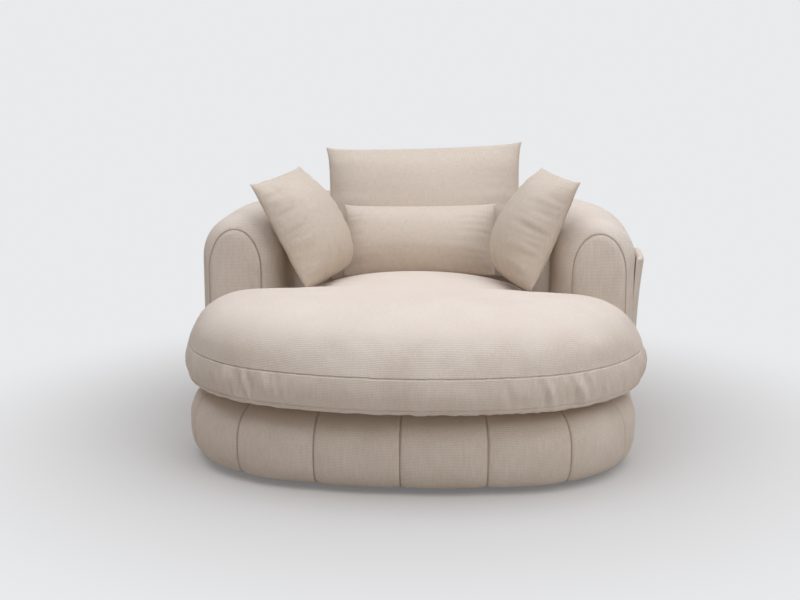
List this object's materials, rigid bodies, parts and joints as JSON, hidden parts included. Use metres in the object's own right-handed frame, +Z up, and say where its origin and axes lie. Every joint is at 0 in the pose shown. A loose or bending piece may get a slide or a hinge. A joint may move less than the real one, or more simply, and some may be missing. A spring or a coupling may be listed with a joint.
{
  "type": "chaise longue",
  "caption": "Round-fronted chaise longue with channel-stitched base, tub arms and back, plush T-shaped seat cushion, side pocket and loose pillows for lounging.",
  "frame": {"origin": "on the floor under the middle glide, in the middle plane of the chaise, halfway between the front of the seat cushion and the back", "axes": "+X to the sitter's left, which is the viewer's right in the picture, +Y from the rounded front to the back, +Z up"},
  "size_m": [1.3424, 1.475, 0.8502],
  "materials": {
    "chenille": "matte",
    "pillow_weave": "matte",
    "upholstery_foam": "matte",
    "fibre_fill": "matte",
    "felt": "matte",
    "deck_canvas": "matte",
    "dust_cloth": "matte",
    "plywood": "matte",
    "timber": "matte",
    "spring_steel": "satin",
    "zinc_steel": "satin",
    "black_plastic": "matte"
  },
  "bodies": {
    "frame": {"back_foam": "upholstery_foam", "barrel_bolts": "zinc_steel", "barrel_bottom_rail": "plywood", "barrel_cover": "chenille", "barrel_nuts": "zinc_steel", "barrel_posts": "timber", "barrel_top_rail": "plywood", "base_bottom_ring": "plywood", "base_channel_cover": "chenille", "base_channel_foam": "upholstery_foam", "base_cross_board": "plywood", "base_posts": "timber", "base_top_ring": "plywood", "deck_cloth": "deck_canvas", "deck_edge_roll": "upholstery_foam", "deck_pad": "felt", "dust_cover": "dust_cloth", "glide_studs": "zinc_steel", "glides": "black_plastic", "left_arm_foam": "upholstery_foam", "left_arm_front_board": "plywood", "left_arm_front_panel": "chenille", "pocket_hem": "chenille", "right_arm_foam": "upholstery_foam", "right_arm_front_board": "plywood", "right_arm_front_panel": "chenille", "seat_springs": "spring_steel", "side_pocket": "chenille", "spring_clips": "zinc_steel"},
    "seat_cushion": {"seat_cover_border": "chenille", "seat_cover_bottom": "chenille", "seat_cover_top": "chenille", "seat_fibre_crown": "fibre_fill", "seat_foam_core": "upholstery_foam"},
    "back_pillow": {"back_pillow_cover": "pillow_weave", "back_pillow_filling": "fibre_fill"},
    "lumbar_pillow": {"lumbar_cover": "pillow_weave", "lumbar_filling": "fibre_fill"},
    "left_throw_pillow": {"left_throw_cover": "pillow_weave", "left_throw_filling": "fibre_fill"},
    "right_throw_pillow": {"right_throw_cover": "pillow_weave", "right_throw_filling": "fibre_fill"}
  },
  "joints": [
    {"name": "seat_cushion_lift", "type": "slide", "parent": "frame", "child": "seat_cushion", "axis": [0, 0, 1], "range_m": [0, 0.4]},
    {"name": "back_pillow_lift", "type": "slide", "parent": "seat_cushion", "child": "back_pillow", "axis": [0, 0.342, 0.9397], "range_m": [0, 0.35]},
    {"name": "lumbar_pillow_lift", "type": "slide", "parent": "seat_cushion", "child": "lumbar_pillow", "axis": [0, 0, 1], "range_m": [0, 0.3]},
    {"name": "left_throw_lift", "type": "slide", "parent": "seat_cushion", "child": "left_throw_pillow", "axis": [0, 0, 1], "range_m": [0, 0.3]},
    {"name": "right_throw_lift", "type": "slide", "parent": "seat_cushion", "child": "right_throw_pillow", "axis": [0, 0, 1], "range_m": [0, 0.3]}
  ]
}
